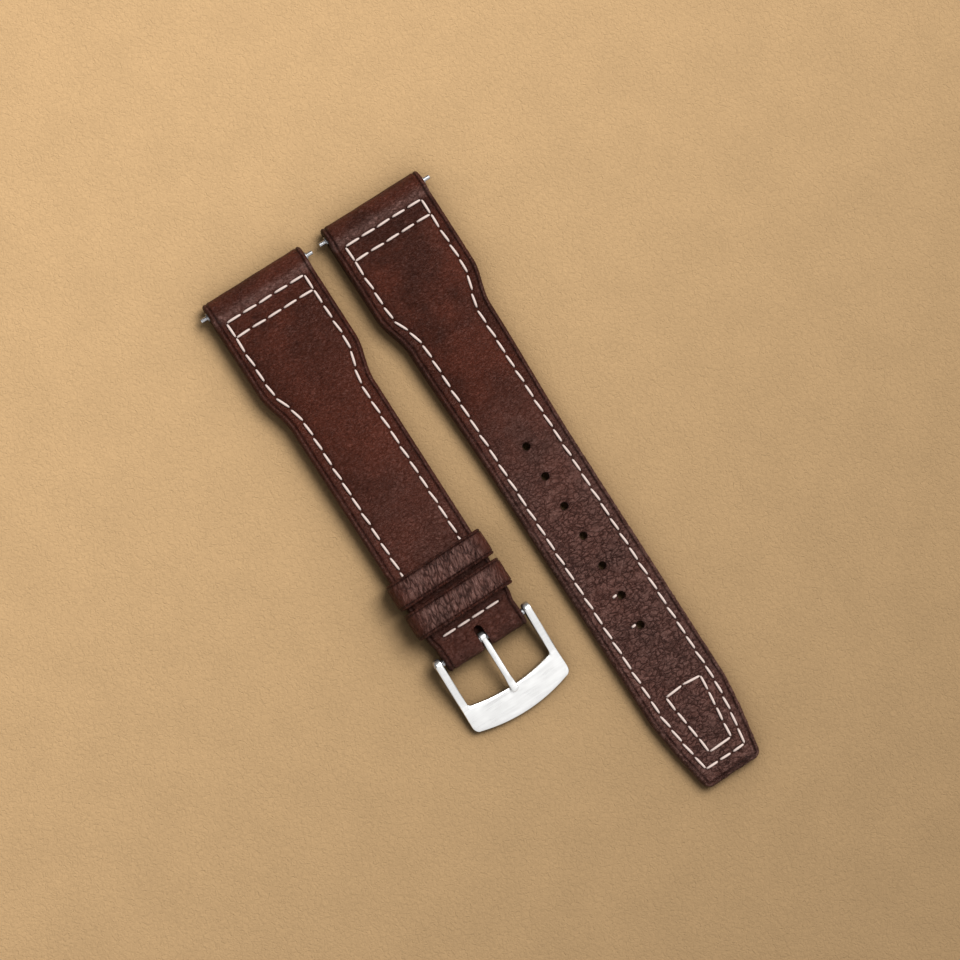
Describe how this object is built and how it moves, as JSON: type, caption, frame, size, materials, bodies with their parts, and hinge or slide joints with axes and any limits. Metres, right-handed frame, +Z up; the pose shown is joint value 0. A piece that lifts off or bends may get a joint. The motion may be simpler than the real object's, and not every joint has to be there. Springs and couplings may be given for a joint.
{
  "type": "leather watch strap",
  "caption": "Two-piece padded leather watch strap with contrast stitching, pin buckle, keepers and sprung lug bars.",
  "frame": {"origin": "middle of the whole layout at the surface that it lies on", "axes": "+Y along the strap towards the lug ends, +X across towards the long half, +Z up through the show side"},
  "size_m": [0.0461, 0.1156, 0.0071],
  "materials": {
    "leather": "dark brown grained calf, soft sheen",
    "lining": "plain brown lining leather, matt",
    "padding": "pale felt padding",
    "thread": "off-white waxed thread",
    "steel": "turned steel",
    "spring_steel": "spring wire",
    "buckle_steel": "brushed steel, satin"
  },
  "bodies": {
    "short_strap": {"short_cover": "leather", "short_filler": "padding", "short_lining": "lining", "short_thread": "thread", "fold_thread": "thread", "fixed_keeper": "leather"},
    "long_strap": {"long_cover": "leather", "long_filler": "padding", "long_lining": "lining", "long_thread": "thread"},
    "free_keeper": {"free_keeper": "leather"},
    "buckle_frame": {"buckle_frame": "buckle_steel"},
    "buckle_tongue": {"buckle_tongue": "buckle_steel"},
    "long_bar": {"long_bar_tube": "steel", "long_bar_spring": "spring_steel"},
    "long_bar_left_pin": {"long_bar_left_pin": "steel"},
    "long_bar_right_pin": {"long_bar_right_pin": "steel"},
    "short_bar": {"short_bar_tube": "steel", "short_bar_spring": "spring_steel"},
    "short_bar_left_pin": {"short_bar_left_pin": "steel"},
    "short_bar_right_pin": {"short_bar_right_pin": "steel"},
    "buckle_bar": {"buckle_bar_tube": "steel", "buckle_bar_spring": "spring_steel"},
    "buckle_bar_left_pin": {"buckle_bar_left_pin": "steel"},
    "buckle_bar_right_pin": {"buckle_bar_right_pin": "steel"}
  },
  "joints": [
    {"name": "frame_hinge", "type": "hinge", "parent": "short_strap", "child": "buckle_frame", "pos_m": [-0.01195, -0.01514, 0.00324], "axis": [-1, 0, 0], "range_deg": [-90, 50]},
    {"name": "tongue_hinge", "type": "hinge", "parent": "buckle_frame", "child": "buckle_tongue", "pos_m": [-0.01195, -0.01514, 0.00324], "axis": [-1, 0, 0], "range_deg": [0, 70]},
    {"name": "free_keeper_slide", "type": "slide", "parent": "short_strap", "child": "free_keeper", "axis": [0, 0.9998, -0.0183], "range_m": [-0.0007, 0.03]},
    {"name": "long_half_apart", "type": "slide", "parent": "short_strap", "child": "long_strap", "axis": [1, 0, 0], "range_m": [0, 0.03]},
    {"name": "long_bar_spin", "type": "hinge", "parent": "long_strap", "child": "long_bar", "pos_m": [0.01195, 0.0557, 0.0021], "axis": [1, 0, 0], "continuous": true},
    {"name": "long_bar_left_push", "type": "slide", "parent": "long_bar", "child": "long_bar_left_pin", "axis": [1, 0, 0], "range_m": [0, 0.0012], "stiffness_N_per_m": 300, "deforming": ["long_bar_spring"]},
    {"name": "long_bar_right_push", "type": "slide", "parent": "long_bar", "child": "long_bar_right_pin", "axis": [-1, 0, 0], "range_m": [0, 0.0012], "stiffness_N_per_m": 300, "deforming": ["long_bar_spring"]},
    {"name": "short_bar_spin", "type": "hinge", "parent": "short_strap", "child": "short_bar", "pos_m": [-0.01195, 0.0554, 0.0021], "axis": [1, 0, 0], "continuous": true},
    {"name": "short_bar_left_push", "type": "slide", "parent": "short_bar", "child": "short_bar_left_pin", "axis": [1, 0, 0], "range_m": [0, 0.0012], "stiffness_N_per_m": 300, "deforming": ["short_bar_spring"]},
    {"name": "short_bar_right_push", "type": "slide", "parent": "short_bar", "child": "short_bar_right_pin", "axis": [-1, 0, 0], "range_m": [0, 0.0012], "stiffness_N_per_m": 300, "deforming": ["short_bar_spring"]},
    {"name": "buckle_bar_spin", "type": "hinge", "parent": "short_strap", "child": "buckle_bar", "pos_m": [-0.01195, -0.01514, 0.00324], "axis": [1, 0, 0], "continuous": true},
    {"name": "buckle_bar_left_push", "type": "slide", "parent": "buckle_bar", "child": "buckle_bar_left_pin", "axis": [1, 0, 0], "range_m": [0, 0.00145], "stiffness_N_per_m": 300, "deforming": ["buckle_bar_spring"]},
    {"name": "buckle_bar_right_push", "type": "slide", "parent": "buckle_bar", "child": "buckle_bar_right_pin", "axis": [-1, 0, 0], "range_m": [0, 0.00145], "stiffness_N_per_m": 300, "deforming": ["buckle_bar_spring"]}
  ]
}
